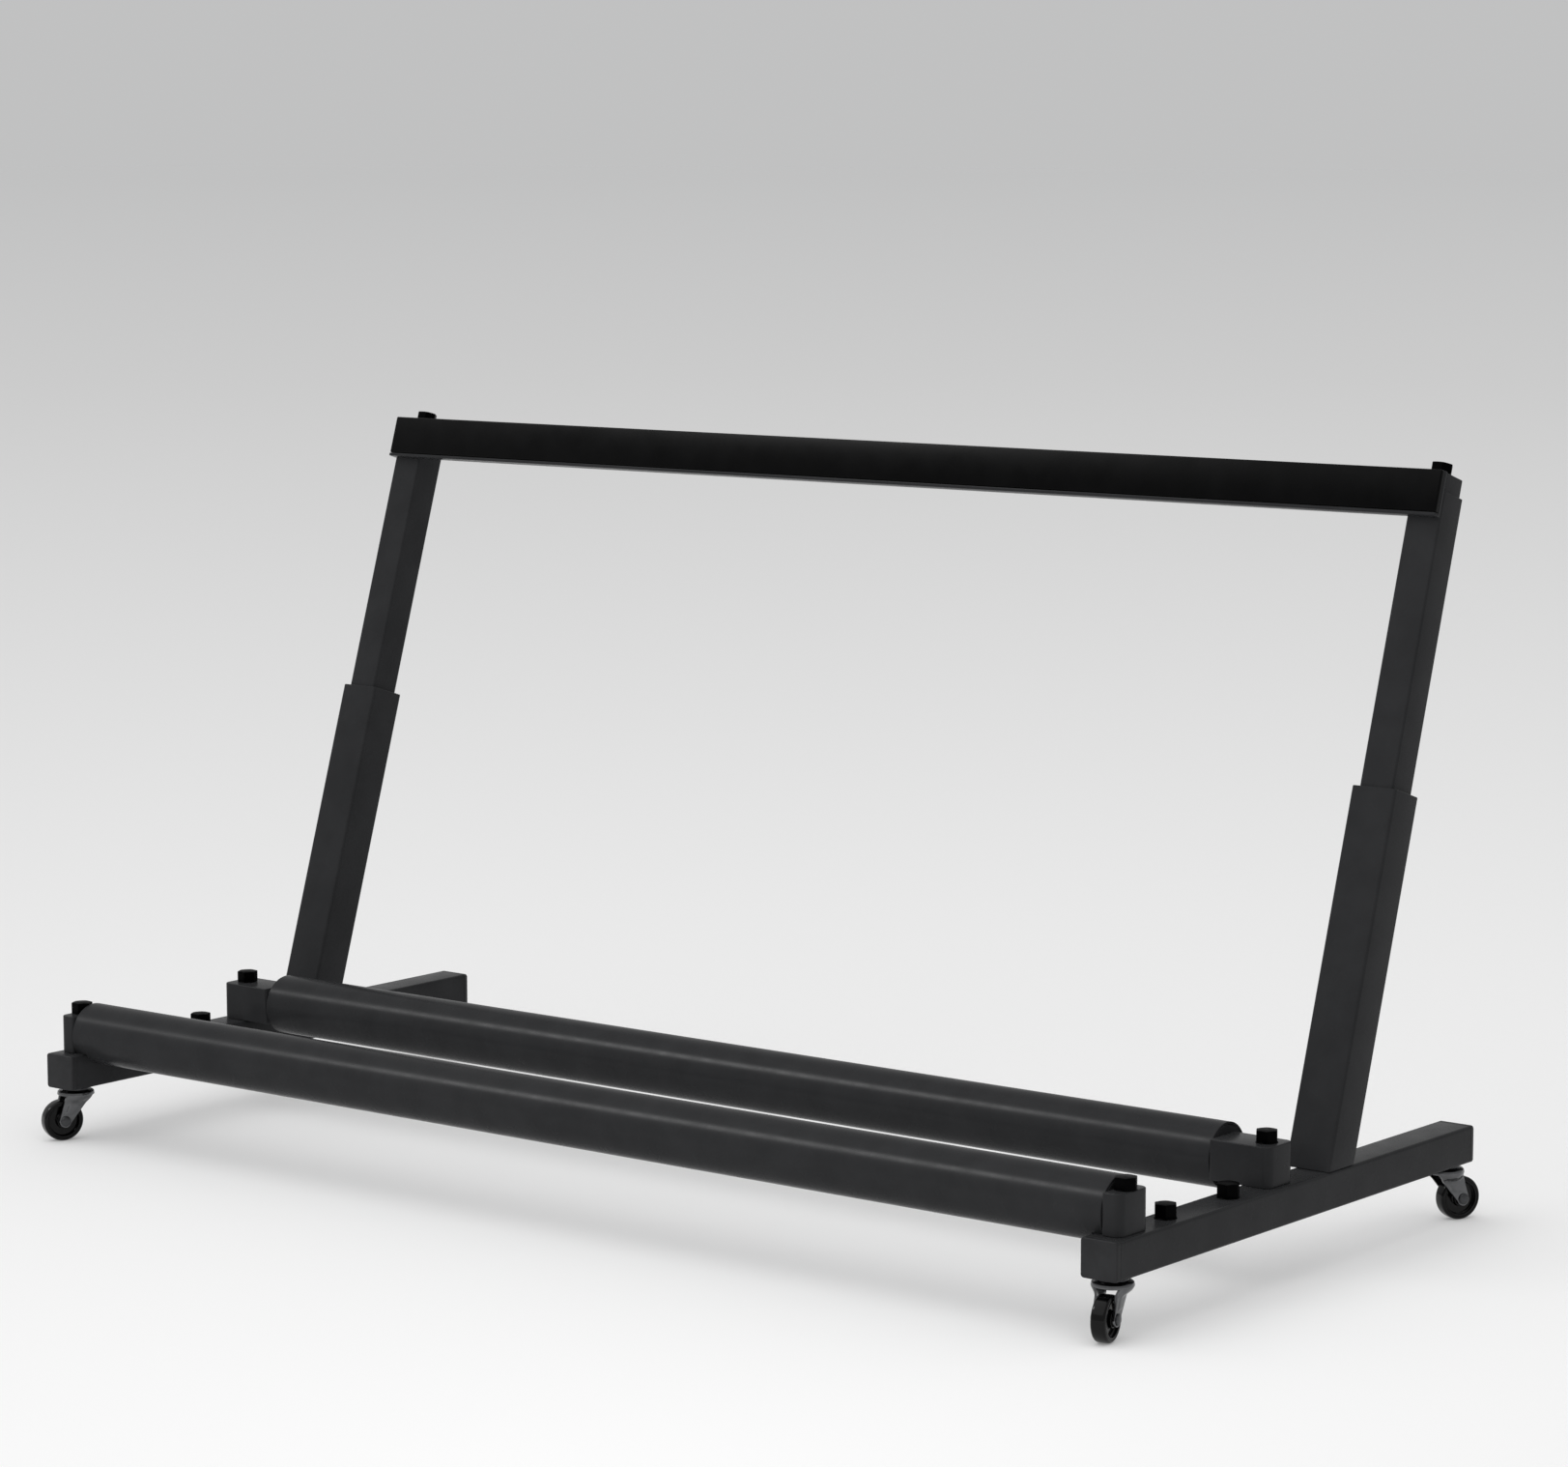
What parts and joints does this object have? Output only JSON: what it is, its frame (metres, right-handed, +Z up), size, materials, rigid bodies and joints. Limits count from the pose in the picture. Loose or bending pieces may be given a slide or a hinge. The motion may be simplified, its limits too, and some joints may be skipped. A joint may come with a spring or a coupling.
{
  "type": "racket display stand",
  "caption": "Low rolling display stand: two round rails on two feet hold racket heads, and a padded bar on leaning telescopic uprights props their shafts.",
  "frame": {"origin": "on the floor, in the middle of the rectangle of the two feet", "axes": "+X along the rails to the right as seen from the front, +Y from the front to the back, which is the way the uprights lean, +Z up"},
  "size_m": [1.0478, 0.4932, 0.5682],
  "materials": {
    "charcoal_paint": "satin powder coat, charcoal",
    "black_cap": "gloss black",
    "dark_plastic": "matt, near black",
    "nylon": "matt, near black",
    "pad_rubber": "smooth black",
    "wheel_rubber": "smooth black",
    "zinc_plate": "bright zinc plate",
    "steel": "plain, satin"
  },
  "bodies": {
    "base": {"foot_beam_left": "charcoal_paint", "foot_beam_right": "charcoal_paint", "rail_bracket_front_left": "charcoal_paint", "rail_bracket_rear_left": "charcoal_paint", "rail_bracket_front_right": "charcoal_paint", "rail_bracket_rear_right": "charcoal_paint", "front_rail": "charcoal_paint", "rear_rail": "charcoal_paint", "sleeve_left": "charcoal_paint", "sleeve_right": "charcoal_paint", "bracket_bolt_front_left": "black_cap", "bracket_bolt_rear_left": "black_cap", "bracket_bolt_front_right": "black_cap", "bracket_bolt_rear_right": "black_cap", "foot_bolt_1_left": "black_cap", "foot_bolt_2_left": "black_cap", "foot_bolt_1_right": "black_cap", "foot_bolt_2_right": "black_cap", "foot_cap_front_left": "dark_plastic", "foot_cap_rear_left": "dark_plastic", "foot_cap_front_right": "dark_plastic", "foot_cap_rear_right": "dark_plastic", "sleeve_bush_left": "nylon", "sleeve_bush_right": "nylon", "nut_strip_left": "steel", "nut_strip_right": "steel", "lock_nut_left": "steel", "lock_nut_right": "steel", "lock_screw_left": "steel", "lock_screw_right": "steel", "caster_stem_front_left": "steel", "caster_stem_rear_left": "steel", "caster_stem_front_right": "steel", "caster_stem_rear_right": "steel"},
    "backrest": {"post_left": "charcoal_paint", "post_right": "charcoal_paint", "bar_carrier_left": "charcoal_paint", "bar_carrier_right": "charcoal_paint", "top_bar": "charcoal_paint", "bar_pad": "pad_rubber", "bar_bolt_left": "black_cap", "bar_bolt_right": "black_cap", "bar_screw_left": "steel", "bar_screw_right": "steel"},
    "fork_front_left": {"caster_fork_front_left": "zinc_plate", "caster_axle_front_left": "steel"},
    "wheel_front_left": {"caster_wheel_front_left": "wheel_rubber"},
    "fork_rear_left": {"caster_fork_rear_left": "zinc_plate", "caster_axle_rear_left": "steel"},
    "wheel_rear_left": {"caster_wheel_rear_left": "wheel_rubber"},
    "fork_front_right": {"caster_fork_front_right": "zinc_plate", "caster_axle_front_right": "steel"},
    "wheel_front_right": {"caster_wheel_front_right": "wheel_rubber"},
    "fork_rear_right": {"caster_fork_rear_right": "zinc_plate", "caster_axle_rear_right": "steel"},
    "wheel_rear_right": {"caster_wheel_rear_right": "wheel_rubber"}
  },
  "joints": [
    {"name": "backrest_slide", "type": "slide", "parent": "base", "child": "backrest", "axis": [0, 0.3007, 0.9537], "range_m": [-0.12, 0.08]},
    {"name": "swivel_front_left", "type": "hinge", "parent": "base", "child": "fork_front_left", "pos_m": [-0.5075, -0.218, 0.037], "axis": [0, 0, 1], "continuous": true},
    {"name": "roll_front_left", "type": "hinge", "parent": "fork_front_left", "child": "wheel_front_left", "pos_m": [-0.51219, -0.22905, 0.0165], "axis": [0.9205, -0.3907, 0], "continuous": true},
    {"name": "swivel_rear_left", "type": "hinge", "parent": "base", "child": "fork_rear_left", "pos_m": [-0.5075, 0.218, 0.037], "axis": [0, 0, 1], "continuous": true},
    {"name": "roll_rear_left", "type": "hinge", "parent": "fork_rear_left", "child": "wheel_rear_left", "pos_m": [-0.50917, 0.22988, 0.0165], "axis": [-0.9903, -0.1392, 0], "continuous": true},
    {"name": "swivel_front_right", "type": "hinge", "parent": "base", "child": "fork_front_right", "pos_m": [0.5075, -0.218, 0.037], "axis": [0, 0, 1], "continuous": true},
    {"name": "roll_front_right", "type": "hinge", "parent": "fork_front_right", "child": "wheel_front_right", "pos_m": [0.5102, -0.22969, 0.0165], "axis": [0.9744, 0.225, 0], "continuous": true},
    {"name": "swivel_rear_right", "type": "hinge", "parent": "base", "child": "fork_rear_right", "pos_m": [0.5075, 0.218, 0.037], "axis": [0, 0, 1], "continuous": true},
    {"name": "roll_rear_right", "type": "hinge", "parent": "fork_rear_right", "child": "wheel_rear_right", "pos_m": [0.51295, 0.22869, 0.0165], "axis": [-0.891, 0.454, 0], "continuous": true}
  ]
}
